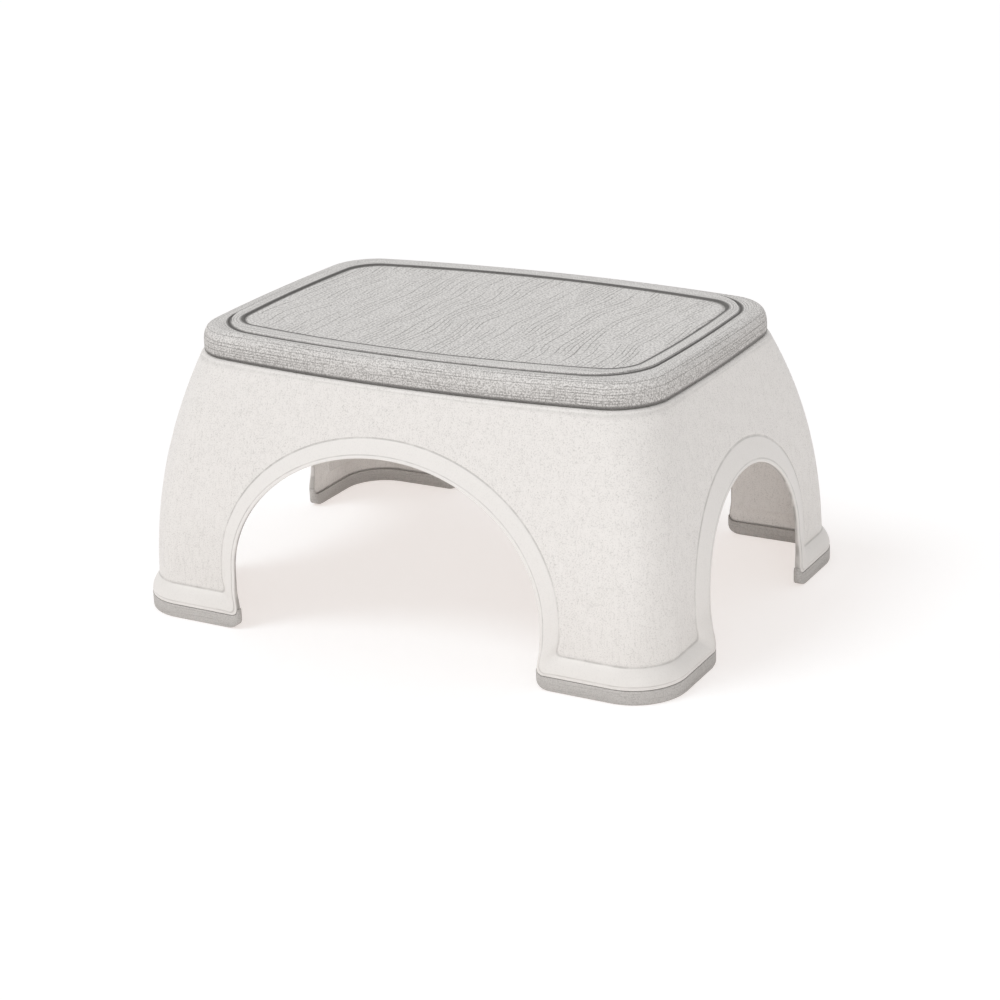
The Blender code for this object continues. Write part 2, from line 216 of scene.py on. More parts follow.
# Where the rings of the shell lie: shares of the lip's width, and steps
shellSpacing = {
    "overCrease": (1.05, 1.035, 1.02, 1.01),
    "lip": (1, 0.99, 0.98, 0.965, 0.94, 0.91, 0.87, 0.8, 0.72, 0.63, 0.54, 0.45, 0.36, 0.29),
    "innerLip": (0.12, 0.25, 0.4, 0.55, 0.7, 0.82, 0.91, 0.96, 1, 1.03),
    "bead": (6, 0.6),  # steps, and how far they reach to each side of the bead, in runs
    "beforeRim": 0.0017,  # distance of the last ring before the rim turns
    "rim": (6, 4),  # outside, inside
    "wall": 26,
    "innerWall": 12,
    "ledge": (8, 6),
    "bend": 4,
    "deck": (8, 10),
}
Spot = namedtuple("Spot", "side edge crease width low")


def frontTravel(x, height):
    outline = wallOutline(height)
    return plan["frontEnd"] * x / (outline[0] - outline[2])


def sideTravel(y, height):
    outline = wallOutline(height)
    return 1 - (1 - plan["sideStart"]) * y / (outline[1] - outline[2])


def spot(side, edge, crease):  # low is 1 on the foot and fades to 0 up the leg
    low = 1 - smooth((edge[1] - shell["footEdge"]) / shell["blendHeight"])
    return Spot(side, Vector(edge), Vector(crease), math.dist(edge, crease), low)


def archSpots(side):
    # From the crown down one leg and round its end, as places along the wall and heights
    halfWidth, crown, lip = arches[side]
    base, creaseBase = shell["footEdge"], shell["footEdge"] + shell["footLip"]
    rise = crown - arches["spring"]
    spots = []
    for turn in quarterTurn(arches["crownSteps"])[:-1]:
        out = Vector((math.sin(turn) / halfWidth, math.cos(turn) / rise)).normalized() * lip
        edge = Vector((halfWidth * math.sin(turn), arches["spring"] + rise * math.cos(turn)))
        spots.append(spot(side, edge, edge + out))
    for step in range(arches["legSteps"]):
        share = step / arches["legSteps"]
        height = mix(arches["spring"], base + arches["endRound"], share)
        toe = arches["toe"] * (1 - smooth((height - base - arches["endRound"]) / shell["footLip"]))
        creaseHeight = mix(arches["spring"], creaseBase + arches["creaseRound"], share)
        spots.append(spot(side, (halfWidth - toe, height), (halfWidth - toe + lip, creaseHeight)))
    corner = halfWidth - arches["toe"]
    for turn in quarterTurn(arches["endSteps"]):
        bend = Vector((1 - math.cos(turn), 1 - math.sin(turn)))
        edge = Vector((corner, base)) + bend * arches["endRound"]
        spots.append(spot(side, edge, Vector((corner + lip, creaseBase)) + bend * arches["creaseRound"]))
    return spots


frontSpots = archSpots("front")
sideSpots = archSpots("side")[::-1]
footSpot = spot("foot", (0, shell["footEdge"]), (0, shell["footEdge"] + shell["footLip"]))


def lipPlaces(shareAt):
    # Spot, travel and height all along a quarter, this share of the way from the edge to the crease
    def along(spots, travelAt):
        places = []
        for here in spots:
            run, height = here.edge + (here.crease - here.edge) * shareAt(here)
            places.append((here, travelAt(run, height), height))
        return places

    front, side = along(frontSpots, frontTravel), along(sideSpots, sideTravel)
    height = shell["footEdge"] + shell["footLip"] * shareAt(footSpot)
    steps = arches["footSteps"]
    foot = [(footSpot, mix(front[-1][1], side[0][1], step / steps), height) for step in range(1, steps)]
    return front + foot + side


def lipReach(here, share):
    # How far the lip stands out of the wall: a soft crease, then a swell towards the rim
    power = mix(shell["archPower"], shell["footPower"], here.low)
    soft = shell["creaseSoftness"]
    if share > 1 - soft:
        reach = (1 - (1 - soft) ** power) * (max(1 + soft - share, 0) / (2 * soft)) ** 2
    else:
        reach = 1 - share ** power
    beadPlace, beadRun, beadDepth = shell["bead"]
    height = beadDepth * mix(shell["beadOnArch"], 1, here.low)
    bead = height * smooth((beadPlace - share * here.width) / beadRun + 0.5)
    half, depth = shell["creaseGroove"]
    notch = depth * max(1 - abs(share - 1) * here.width / half, 0)
    return mix(shell["archFlare"], shell["footFlare"], here.low) * reach - bead - notch


def lipRing(shareAt, depthAt):
    quarter = []
    for here, travel, height in lipPlaces(shareAt):
        share = shareAt(here)
        rim = mix(shell["wall"], shell["footRim"], here.low)
        reach = lipReach(here, share) - depthAt(here, mix(rim, shell["wall"], min(share, 1)))
        quarter.append(quarterPoint(grow(wallOutline(height), reach), travel, height))
    return fullRing(quarter)


def outerLip(share):
    return lipRing(lambda here: share, lambda here, thickness: 0)


def outerLipAt(distance):  # the same, this far from the edge everywhere
    return lipRing(lambda here: distance / here.width, lambda here, thickness: 0)


def innerLip(share):
    return lipRing(lambda here: share, lambda here, thickness: thickness)


def outerRim(turn):  # from the outer face round on to the rim
    def radius(here):
        return mix(shell["archRound"], shell["footRound"], here.low)

    return lipRing(
        lambda here: radius(here) * (1 - math.sin(turn)) / here.width,
        lambda here, thickness: radius(here) * (1 - math.cos(turn)),
    )


def innerRim(turn):
    radius = shell["innerRound"]
    return lipRing(
        lambda here: radius * (1 - math.sin(turn)) / here.width,
        lambda here, thickness: thickness - radius * (1 - math.cos(turn)),
    )


creaseEnd = 1 + shell["creaseSoftness"]
creasePlaces = lipPlaces(lambda here: creaseEnd)


def fanned(count):
    # Where the lines of the wall end at the top: they fan out from the legs, so that none cross
    crown, leg = arches["crownSteps"], arches["crownSteps"] + arches["legSteps"] + arches["endSteps"]
    steps = 0, crown, leg, count - leg, count - crown, count
    stops = list(zip(steps, (0, *arches["fan"], 1)))
    travels = [0]
    for (start, low), (end, high) in zip(stops, stops[1:]):
        travels += [mix(low, high, (step - start) / (end - start)) for step in range(start + 1, end + 1)]
    return travels


topTravels = fanned(len(creasePlaces) - 1)


def wallRing(share, depth):  # between the crease and the top of the wall
    quarter = []
    for (_, travel, height), topTravel in zip(creasePlaces, topTravels):
        height = mix(height, plan["seat"] - shell["ledgeRound"], share)
        outline = grow(wallOutline(height), -depth)
        quarter.append(quarterPoint(outline, mix(travel, topTravel, share * (2 - share)), height))
    return fullRing(quarter)


def ledgeRing(top, radius, depth, turn):  # rounds the wall over on to the ledge under the tread
    height = top - radius * (1 - math.sin(turn))
    outline = grow(wallOutline(height), -depth - radius * (1 - math.cos(turn)))
    return fullRing([quarterPoint(outline, travel, height) for travel in topTravels])


tread = {
    "thickness": 0.003,
    "gap": 0.0003,
    "skirt": 0.004,
    "skirtRound": 0.0012,
    "run": 0.0098,  # shoulder: run, rise and how full it is
    "rise": 0.0148,
    "power": 2.8,
    "stepRun": 0.0008,  # steps on both sides of the border
    "groove": (0.0016, 0.0006),  # fine groove along each step: width, depth
    "border": (0.0035, 0.036),  # how much further in the border starts at the ends, and its corner
    "panelInset": 0.0244,
    "panelCorner": 0.019,
    "panelDepth": 0.0009,
}
plugs = {
    "grid": (4, 0.085, 2, 0.092),  # columns and their spacing, rows and their spacing
    "radius": 0.0037,
    "head": (0.0055, 0.004),  # radius, height
    "tip": (0.0012, 0.0012, 30, 3),  # radius of its flat end; radius, angle and steps of the bend beside it
    # The edge of the head, as distances in from its radius and down from its top
    "edge": ((0.0004, 0.0012), (0, 0.0007), (0, 0.0003), (0.0003, 0)),
    "root": 0.0015,  # how far a plug runs up into the tread
    "steps": 24,
}
panelHeight = plan["height"] - tread["panelDepth"]
# Where the rings of the tread lie: heights and shares, and steps
treadSpacing = {
    "travels": (26, 22, 16),  # front, corner, end
    "skirt": (0.0022, 0.003),
    "skirtRound": 6,
    "shoulder": 22,
    "fine": 6,  # along a groove or a step
    "border": (0.5, 0.75, 0.9),
    "panel": (0.005, 0.02),  # distances inside the panel's edge
    "deck": 10,
    "underPanel": 0.01,
}


def deckRing(inset, height, travels):
    halfX, halfY, corner, bowX, bowY = grow(plan["tread"], -inset)
    outline = halfX, halfY, max(corner, tread["panelCorner"]), bowX, bowY
    return fullRing([quarterPoint(outline, travel, height) for travel in travels])


def shoulder(depth, steps):
    # Insets and heights over the edge of the deck, this deep below the tread's outer face
    base = plan["seat"] + tread["skirt"]
    profile = []
    for turn in quarterTurn(steps):
        across, up = math.cos(turn) ** (2 / tread["power"]), math.sin(turn) ** (2 / tread["power"])
        profile.append((tread["run"] - (tread["run"] - depth) * across, base + (tread["rise"] - depth) * up))
    return profile


def deckProfile(depth, steps):
    flat = panelHeight - depth
    inside = tread["panelInset"] + treadSpacing["underPanel"]
    return shoulder(depth, steps) + [(tread["panelInset"], flat), (inside, flat)]


def arc(centre, radius, start, end, steps):  # points of a profile, as inset and height
    turns = [math.radians(mix(start, end, step / steps)) for step in range(steps + 1)]
    return [(centre[0] + radius * math.cos(turn), centre[1] + radius * math.sin(turn)) for turn in turns]


ribs = {
    "thickness": 0.002,
    "root": 0.0016,  # fillet where a rib meets the deck
    "tip": 0.0007,
    "steps": (6, 5),  # along the fillet and along the tip
    "cross": (3, 0.085, 0.012),  # how many, how far apart, how deep
    "long": (2, 0.046, 0.0135),
}
tongues = {
    "thickness": 0.0022,
    "inset": 0.0026,  # from the face of the foot
    "depth": 0.0062,  # below the foot's edge, and above it
    "root": 0.002,
    "margin": 0.0065,  # from the ends of the foot
    "steps": 40,
}


def makeRib(name, place, depth, alongX):
    # Its cross-section, with a fillet at the root and a rounded tip, is pushed from wall to wall
    inner = tread["thickness"] + tread["gap"] + shell["wall"]
    under = panelHeight - inner
    half, root, tip = ribs["thickness"] / 2, ribs["root"], ribs["tip"]
    rootSteps, tipSteps = ribs["steps"]
    side = [(half + root, under + shell["wall"] / 2)]
    side += arc((half + root, under - root), root, 90, 180, rootSteps)
    side += arc((half - tip, under - depth + tip), tip, 0, -90, tipSteps)
    section = side + [(-across, height) for across, height in reversed(side)]
    halfX, halfY, _, bowX, bowY = plan["tread"]
    if alongX:
        reach = halfX + bowX * (1 - (place / halfY) ** 2) - inner + shell["wall"] / 2
        points = [(-reach, place + across, height) for across, height in section]
    else:
        reach = halfY + bowY * (1 - (place / halfX) ** 2) - inner + shell["wall"] / 2
        points = [(place + across, -reach, height) for across, height in section]
    bm = bmesh.new()
    face = bm.faces.new([bm.verts.new(point) for point in points])
    made = bmesh.ops.extrude_face_region(bm, geom=[face])["geom"]
    moved = [item for item in made if isinstance(item, bmesh.types.BMVert)]
    push = (2 * reach, 0, 0) if alongX else (0, 2 * reach, 0)
    bmesh.ops.translate(bm, verts=moved, vec=push)
    bmesh.ops.recalc_face_normals(bm, faces=bm.faces[:])
    return newPiece(name, bm)


def spread(count, spacing):
    return [spacing * (index - (count - 1) / 2) for index in range(count)]


def footTravels(margin):  # travels at this distance from the arch edges at both ends of a foot
    base = shell["footEdge"]
    front = frontTravel(arches["front"][0] - arches["toe"] + margin, base)
    return front, sideTravel(arches["side"][0] - arches["toe"] + margin, base)


def footBar(name, stations, mirrorX, mirrorY):
    # Follows the plan of a foot; a station is a travel and a section of reaches and heights
    base = wallOutline(shell["footEdge"])
    rings = []
    for travel, section in stations:
        ring = [quarterPoint(grow(base, reach), travel, height) for reach, height in section]
        rings.append([(x * mirrorX, y * -mirrorY, z) for x, y, z in ring])
    return loft(name, rings)


def footMiddle(margin, steps):  # travels from one end of a foot to the other
    start, end = footTravels(margin)
    return [mix(start, end, step / steps) for step in range(steps + 1)]


def makeTongue(name, mirrorX, mirrorY, clearance=0):
    outer = shell["footFlare"] - tongues["inset"] + clearance
    inner = outer - tongues["thickness"] - 2 * clearance
    top = shell["footEdge"] + tongues["root"]
    bottom = shell["footEdge"] - tongues["depth"] - clearance
    section = [(outer, bottom), (outer, top), (inner, top), (inner, bottom)]
    stations = [(travel, section) for travel in footMiddle(tongues["margin"] - clearance, tongues["steps"])]
    return footBar(name, stations, mirrorX, mirrorY)


def corners():
    for end, mirrorY in (("front", -1), ("rear", 1)):
        for side, mirrorX in (("left", -1), ("right", 1)):
            yield end, side, mirrorX, mirrorY


def turned(name, profile, places, steps):
    # The profile runs as radius and height and starts and ends on the axis
    bm = bmesh.new()
    for x, y in places:
        verts = [bm.verts.new((x + radius, y, height)) for radius, height in profile]
        edges = [bm.edges.new(pair) for pair in zip(verts, verts[1:])]
        bmesh.ops.spin(
            bm,
            geom=verts + edges,
            cent=(x, y, 0),
            axis=(0, 0, 1),
            angle=math.tau,
            steps=steps,
            use_merge=True,
        )
    bmesh.ops.remove_doubles(bm, verts=bm.verts[:], dist=weldDistance)
    bmesh.ops.recalc_face_normals(bm, faces=bm.faces[:])
    return newPiece(name, bm)


def plugPlaces():
    columns, spacingX, rows, spacingY = plugs["grid"]
    return [(x, y) for x in spread(columns, spacingX) for y in spread(rows, spacingY)]


def shellRings():
    # From the deck over its edge, down the outside, round the rim and up the inside
    deckDepth, wall = tread["thickness"] + tread["gap"], shell["wall"]
    (outerDeck, innerDeck), (outerLedge, innerLedge) = shellSpacing["deck"], shellSpacing["ledge"]
    deck = reversed(deckProfile(deckDepth, outerDeck))
    rings = [deckRing(inset, height, topTravels) for inset, height in deck]
    rings.append(deckRing(deckDepth, plan["seat"], topTravels))
    turns = reversed(quarterTurn(outerLedge))
    rings += [ledgeRing(plan["seat"], shell["ledgeRound"], 0, turn) for turn in turns]
    marks = {"ledge": len(rings) - 1}
    steps = shellSpacing["wall"]
    rings += [wallRing(1 - step / steps, 0) for step in range(1, steps + 1)]
    rings += [outerLip(share) for share in shellSpacing["overCrease"]]
    marks["crease"] = len(rings)
    rings += [outerLip(share) for share in shellSpacing["lip"]]
    (place, run, _), (steps, reach) = shell["bead"], shellSpacing["bead"]
    marks["bead"] = len(rings) + steps // 2
    for step in range(steps + 1):
        rings.append(outerLipAt(place + run * (reach - 2 * reach * step / steps)))
    rings.append(outerLipAt(shellSpacing["beforeRim"]))
    outerSteps, innerSteps = shellSpacing["rim"]
    rings += [outerRim(turn) for turn in quarterTurn(outerSteps)]
    marks["rim"] = len(rings)
    rings += [innerRim(turn) for turn in reversed(quarterTurn(innerSteps))]
    rings += [innerLip(share) for share in (*shellSpacing["innerLip"], creaseEnd)]
    steps = shellSpacing["innerWall"]
    rings += [wallRing(step / steps, wall) for step in range(1, steps - 1)]
    under = plan["seat"] - wall
    rings += [ledgeRing(under, wall, wall, turn) for turn in quarterTurn(innerLedge)]
    inner, radius = deckDepth + wall, shell["bendRound"]
    bend = arc((inner - radius, under + radius), radius, -90, 0, shellSpacing["bend"])
    profile = bend + deckProfile(inner, innerDeck)
    rings += [deckRing(inset, height, topTravels) for inset, height in profile]
    return rings, {name: overTo(rings, index) for name, index in marks.items()}


def overTo(rings, index, gauge=0):  # distance over the profile, as in the UV map
    return sum(math.dist(rings[step][gauge], rings[step + 1][gauge]) for step in range(index))


def makeShell():
    rings, marks = shellRings()
    piece = loft("bodyShell", rings)
    added = [makeTongue("tongue", mirrorX, mirrorY) for _, _, mirrorX, mirrorY in corners()]
    for kind in ("cross", "long"):
        count, spacing, depth = ribs[kind]
        added += [makeRib(kind, place, depth, kind == "long") for place in spread(count, spacing)]
    combine(piece, joined("added", added), "UNION", overlapping=True)
    under = panelHeight - tread["thickness"] - tread["gap"] - shell["wall"]
    radius, (below, above) = plugs["radius"] + tread["gap"], shell["holeReach"]
    profile = [(0, under - below), (radius, under - below), (radius, under + above), (0, under + above)]
    combine(piece, turned("holes", profile, plugPlaces(), plugs["steps"]), "DIFFERENCE")
    return finished(piece, ["body_shell"], makeShellFinish(marks))


def treadTravels():
    # Even steps on the straight stretches and closer ones round the corner
    frontEnd, sideStart = plan["frontEnd"], plan["sideStart"]
    frontSteps, cornerSteps, endSteps = treadSpacing["travels"]
    front = [frontEnd * step / frontSteps for step in range(frontSteps)]
    corner = [mix(frontEnd, sideStart, step / cornerSteps) for step in range(cornerSteps)]
    return front + corner + [mix(sideStart, 1, step / endSteps) for step in range(endSteps + 1)]


fineShares = [step / treadSpacing["fine"] for step in range(1, treadSpacing["fine"] + 1)]


def softStep(startInset, startHeight, endInset, endHeight):
    # A step between two levels, round at its head and its foot
    heights = [mix(startHeight, endHeight, smooth(share)) for share in fineShares]
    return [(mix(startInset, endInset, share), height) for share, height in zip(fineShares, heights)]


def groove(start, height, width, depth):
    return [(start + width * share, height - depth * math.sin(math.pi * share) ** 2) for share in fineShares]


def borderRing(inset, height, travels):
    halfX, halfY, _, bowX, bowY = grow(plan["tread"], -inset)
    further, corner = tread["border"]
    outline = halfX - further, halfY, corner, bowX, bowY
    return fullRing([quarterPoint(outline, travel, height) for travel in travels])


def treadRings():
    # From the panel over the border and the shoulder to the skirt, and back along the underside
    travels = treadTravels()
    base, top, flat = plan["seat"] + tread["gap"], plan["height"], panelHeight
    skirt, run, stepRun, (width, depth) = tread["skirtRound"], tread["run"], tread["stepRun"], tread["groove"]
    shoulderTop = plan["seat"] + tread["skirt"] + tread["rise"]
    outer = arc((skirt, base + skirt), skirt, -90, -180, treadSpacing["skirtRound"])
    marks = {"skirt": treadSpacing["skirtRound"] // 2}
    outer += [(0, base + up) for up in treadSpacing["skirt"]] + shoulder(0, treadSpacing["shoulder"])
    marks["shoulder"] = len(outer) - 1
    borderStart = len(outer)
    outer += groove(run, shoulderTop, width, depth)
    marks["border"] = borderStart + treadSpacing["fine"] // 2 - 1  # the lowest ring of the groove
    outer += softStep(run + width, shoulderTop, run + width + stepRun, top)
    borderEnd = len(outer)
    edge = tread["panelInset"]
    outer += [(mix(run + width + stepRun, edge, share), top) for share in treadSpacing["border"]]
    outer.append((edge, top))
    marks["panel"] = len(outer) - 1
    outer += softStep(edge, top, edge + stepRun, flat)
    outer += groove(edge + stepRun, flat, width, depth)
    outer += [(edge + further, flat) for further in treadSpacing["panel"]]
    rings = []
    for index, (inset, height) in enumerate(outer):
        makeRing = borderRing if borderStart <= index < borderEnd else deckRing
        rings.insert(0, makeRing(inset, height, travels))
    rings += [deckRing(tread["thickness"], base, travels)]
    inner = deckProfile(tread["thickness"], treadSpacing["deck"])
    rings += [deckRing(inset, height, travels) for inset, height in inner]
    # The profile is measured at a corner, where the border is widest
    gauge = travels.index(mix(plan["frontEnd"], plan["sideStart"], 0.5))
    last = len(outer) - 1
    return rings, gauge, {name: overTo(rings, last - index, gauge) for name, index in marks.items()}


def makeTread():
    rings, gauge, marks = treadRings()
    piece = loft("treadCover", rings, gauge)
    underside = panelHeight - tread["thickness"]
    headTop = underside - 2 * tread["gap"] - shell["wall"]
    (head, headHeight), (flatEnd, bend, angle, steps) = plugs["head"], plugs["tip"]
    profile = [(0, headTop - headHeight), (flatEnd, headTop - headHeight)]
    profile += arc((flatEnd + bend, headTop - headHeight + bend), bend, -90, angle - 90, steps)
    profile += [(head - inward, headTop - down) for inward, down in plugs["edge"]]
    profile += [(plugs["radius"], headTop), (plugs["radius"], underside + plugs["root"])]
    profile.append((0, underside + plugs["root"]))
    combine(piece, turned("plugs", profile, plugPlaces(), plugs["steps"]), "UNION")
    return finished(piece, ["tread"], makeTreadFinish(marks))


shoe = {
    "height": 0.010,
    "width": 0.007,
    "wrap": 0.0016,  # how far its ends stand past the arch edges
    "nose": (0.011, 0.008),  # the underside curves up to the nose: over what length, how high
    "taper": 0.005,  # how far from the nose it has its full width
    "tipWidth": 0.12,  # share of the width at the very tip
    "tipHeight": 0.001,
    "round": 0.0011,
    "topRound": 0.0005,
    "roundShare": 0.9,  # most of a half width or height that the rounding takes
    "noseSteps": (14, 12),  # underside, top
    "middleSteps": 44,
    "cornerSteps": 5,
}


def shoeSection(low, high, widthShare):
    # Closed outline in reach and height, round at its four corners
    middle, half = shell["footFlare"] - shoe["width"] / 2, shoe["width"] / 2 * widthShare
    most = min(half, (high - low) / 2) * shoe["roundShare"]
    lowRound, highRound = min(shoe["round"], most), min(shoe["topRound"], most)
    section = []
    for centre, radius, start in (
        ((middle + half - lowRound, low + lowRound), lowRound, -90),
        ((middle + half - highRound, high - highRound), highRound, 0),
        ((middle - half + highRound, high - highRound), highRound, 90),
        ((middle - half + lowRound, low + lowRound), lowRound, 180),
    ):
        section += arc(centre, radius, start, start + 90, shoe["cornerSteps"])
    return section


def roundedTo(distance, run):  # rises from 0 to 1 over the run, as a quarter circle does
    return math.sqrt(1 - (1 - min(max(distance / run, 0), 1)) ** 2)


def shoeEnd():
    # Distances from the arch edge, with the section there: the end curls up round the end of the foot
    wrap, gap, (noseRun, noseHeight) = shoe["wrap"], tread["gap"], shoe["nose"]
    climb = arches["endRound"] + gap
    under, over = (quarterTurn(steps) for steps in shoe["noseSteps"])
    # To the micron, so that places which fall together count once
    distances = {round(noseRun * (1 - math.cos(turn)) - wrap, 6) for turn in under}
    distances |= {round(climb * (1 - math.cos(turn)) - gap, 6) for turn in over}
    tipTop = shoe["height"] + climb
    stations = []
    for distance in sorted(distances):
        past = distance + wrap
        low = noseHeight * (1 - roundedTo(past, noseRun))
        if distance < -gap:
            high = mix(noseHeight, tipTop, roundedTo(past, wrap - gap))
        else:
            high = tipTop - climb * roundedTo(distance + gap, climb)
        blunt = max(shoe["tipHeight"] / 2 - (high - low) / 2, 0)
        widthShare = max(roundedTo(past, shoe["taper"]), shoe["tipWidth"])
        stations.append((distance, shoeSection(low - blunt, high + blunt, widthShare)))
    return stations


def makeShoe(end, side, mirrorX, mirrorY, finish):
    ends = shoeEnd()
    stations = [(footTravels(distance)[0], section) for distance, section in ends]
    middle = footMiddle(ends[-1][0], shoe["middleSteps"])[1:-1]
    stations += [(travel, shoeSection(0, shoe["height"], 1)) for travel in middle]
    stations += [(footTravels(distance)[1], section) for distance, section in reversed(ends)]
    piece = footBar(f"shoe{end.title()}{side.title()}", stations, mirrorX, mirrorY)
    combine(piece, makeTongue("groove", mirrorX, mirrorY, tread["gap"]), "DIFFERENCE")
    return finished(piece, [f"foot_{end}_{side}"], finish)


# Finishes: nodes are added through a few short helpers, and effects shared by materials are groups
def feed(tree, socket, value):  # links it to an output, or sets it to a plain value
    if isinstance(value, bpy.types.NodeSocket):
        tree.links.new(value, socket)
    else:
        socket.default_value = value


def addNode(tree, kind, inputs=None, **settings):
    made = tree.nodes.new(kind)
    for name, value in settings.items():
        setattr(made, name, value)
    for name, value in (inputs or {}).items():
        feed(tree, made.inputs[name], value)
    return made


def maths(tree, operation, first, second=None, clamp=False):
    made = addNode(tree, "ShaderNodeMath", operation=operation, use_clamp=clamp)
    feed(tree, made.inputs[0], first)
    if second is not None:
        feed(tree, made.inputs[1], second)
    return made.outputs[0]


def times(tree, first, second, clamp=False):
    return maths(tree, "MULTIPLY", first, second, clamp)


def split(tree, vector):  # its X, Y and Z
    return addNode(tree, "ShaderNodeSeparateXYZ", {"Vector": vector}).outputs


def combined(tree, x, y, z=0):
    return addNode(tree, "ShaderNodeCombineXYZ", {"X": x, "Y": y, "Z": z}).outputs["Vector"]


def ramp(tree, value, low, high, toLow=0, toHigh=1):
    inputs = {"Value": value, "From Min": low, "From Max": high, "To Min": toLow, "To Max": toHigh}
    return addNode(tree, "ShaderNodeMapRange", inputs).outputs["Result"]


def noise(tree, place, scale, detail=2, roughness=0.5, distortion=0):
    inputs = {"Vector": place, "Scale": scale, "Detail": detail, "Roughness": roughness}
    inputs["Distortion"] = distortion
    return addNode(tree, "ShaderNodeTexNoise", inputs).outputs["Fac"]


def blended(tree, mask, first, second):  # first colour where the mask is 0, second where it is 1
    mixed = addNode(tree, "ShaderNodeMix", data_type="RGBA")
    for index, value in ((0, mask), (6, first), (7, second)):
        feed(tree, mixed.inputs[index], value)
    return mixed.outputs[2]


def newGroup(name, inputs, outputs):
    tree = bpy.data.node_groups.new(name, "ShaderNodeTree")
    for label, value in inputs:
        kind = "NodeSocketVector" if value is None else "NodeSocketFloat"
        socket = tree.interface.new_socket(name=label, in_out="INPUT", socket_type=kind)
        if value is not None:
            socket.default_value = value
    for label in outputs:
        tree.interface.new_socket(name=label, in_out="OUTPUT", socket_type="NodeSocketFloat")
    return tree, tree.nodes.new("NodeGroupInput").outputs, tree.nodes.new("NodeGroupOutput").inputs


def useGroup(tree, group, **inputs):
    return addNode(tree, "ShaderNodeGroup", inputs, node_tree=group).outputs


# What the groups hold: a noise is given as scale, detail and roughness, a ramp as from and to
grainLook = {
    "fine": (3, 0.6),  # without the scale, which the finish gives
    "coarse": (0.13, 2),  # share of the fine scale, detail
}
furrowLook = {
    "drift": (0.6, 1, 4),  # how long its waves are, detail, how strong
    "jitter": (0.4, 0),
    "gaps": (0.8, 1),
    "gapRamp": (0.44, 0.56),
    "halfWidth": 0.13,  # share of the pitch
}
lineSharpness = 1.6
handlingLook = {
    "patches": (23, 4, 0.62),
    "patchRamp": (0.48, 0.7),
    "marks": (210, 2, 0.5, 1.4),  # and how distorted they are
    "markRamp": (0.45, 0.65),
}


def makeGrainGroup():
    # Fine pits of a textured mould, with a coarser unevenness under them
    tree, given, out = newGroup(
        "mouldGrain", [("place", None), ("size", 0.001), ("unevenness", 0.3)], ["height", "tone"]
    )
    scale = maths(tree, "DIVIDE", 1, given["size"])
    fine = noise(tree, given["place"], scale, *grainLook["fine"])
    share, detail = grainLook["coarse"]
    coarse = noise(tree, given["place"], times(tree, scale, share), detail)
    under = times(tree, coarse, given["unevenness"])
    tree.links.new(maths(tree, "ADD", fine, under), out["height"])
    tree.links.new(coarse, out["tone"])
    return tree


def makeFurrowGroup():
    # Short fine furrows that run one way and wander: X of the vector runs across them and Y along
    tree, given, out = newGroup(
        "wavyFurrows", [("place", None), ("length", 0.03), ("pitch", 0.003), ("wander", 0.004)], ["furrow"]
    )
    wave, detail, strength = furrowLook["drift"]
    drift = noise(tree, given["place"], maths(tree, "DIVIDE", wave, given["length"]), detail)
    most = times(tree, given["wander"], strength)
    shift = times(tree, maths(tree, "SUBTRACT", drift, 0.5), most)
    parts = split(tree, given["place"])
    across = maths(tree, "DIVIDE", maths(tree, "ADD", parts["X"], shift), given["pitch"])
    along = maths(tree, "DIVIDE", parts["Y"], given["length"])
    cell = combined(tree, across, along, parts["Z"])
    jitter = noise(tree, cell, *furrowLook["jitter"])
    away = maths(tree, "PINGPONG", maths(tree, "ADD", across, jitter), 0.5)
    broken = ramp(tree, noise(tree, cell, *furrowLook["gaps"]), *furrowLook["gapRamp"])
    thin = maths(tree, "SUBTRACT", 1, maths(tree, "DIVIDE", away, furrowLook["halfWidth"]), clamp=True)
    tree.links.new(times(tree, thin, broken), out["furrow"])
    return tree


def makeLineGroup():
    # 1 on a line that runs round a piece at this distance over its profile, read from its UV map
    inputs = [("place", None), ("distance", 0.1), ("halfWidth", 0.001)]
    tree, given, out = newGroup("lineRound", inputs, ["mask"])
    over = split(tree, given["place"])["Y"]
    away = maths(tree, "ABSOLUTE", maths(tree, "SUBTRACT", over, given["distance"]))
    near = maths(tree, "SUBTRACT", 1, maths(tree, "DIVIDE", away, given["halfWidth"]))
    tree.links.new(times(tree, near, lineSharpness, clamp=True), out["mask"])
    return tree


def makeHandlingAndShadeGroup():
    # Where hands and feet have dulled a surface, and a patchy darkening near the floor, partly dust and
    # partly painted shade
    tree, given, out = newGroup("handlingAndShade", [("place", None), ("dustHeight", 0.02)], ["scuffs", "dust"])
    patches = noise(tree, given["place"], *handlingLook["patches"])
    marks = ramp(tree, noise(tree, given["place"], *handlingLook["marks"]), *handlingLook["markRamp"])
    scuffs = times(tree, ramp(tree, patches, *handlingLook["patchRamp"]), marks)
    tree.links.new(scuffs, out["scuffs"])
    height = split(tree, given["place"])["Z"]
    low = maths(tree, "SUBTRACT", 1, maths(tree, "DIVIDE", height, given["dustHeight"]), clamp=True)
    tree.links.new(times(tree, low, patches), out["dust"])
    return tree


mouldGrain = makeGrainGroup()
wavyFurrows = makeFurrowGroup()
lineRound = makeLineGroup()
handlingAndShade = makeHandlingAndShadeGroup()


def newFinish(name, settings):
    finish = bpy.data.materials.new(name)
    finish.use_nodes = True
    shader = finish.node_tree.nodes["Principled BSDF"]
    shader.inputs["Specular IOR Level"].default_value = settings["specular"]
    place = addNode(finish.node_tree, "ShaderNodeTexCoord").outputs["Object"]
    return finish, finish.node_tree, shader.inputs, place


def addGrain(tree, place, size, unevenness):
    return useGroup(tree, mouldGrain, place=place, size=size, unevenness=unevenness)


def addFurrows(tree, place, length, pitch, wander):
    return useGroup(tree, wavyFurrows, place=place, length=length, pitch=pitch, wander=wander)["furrow"]


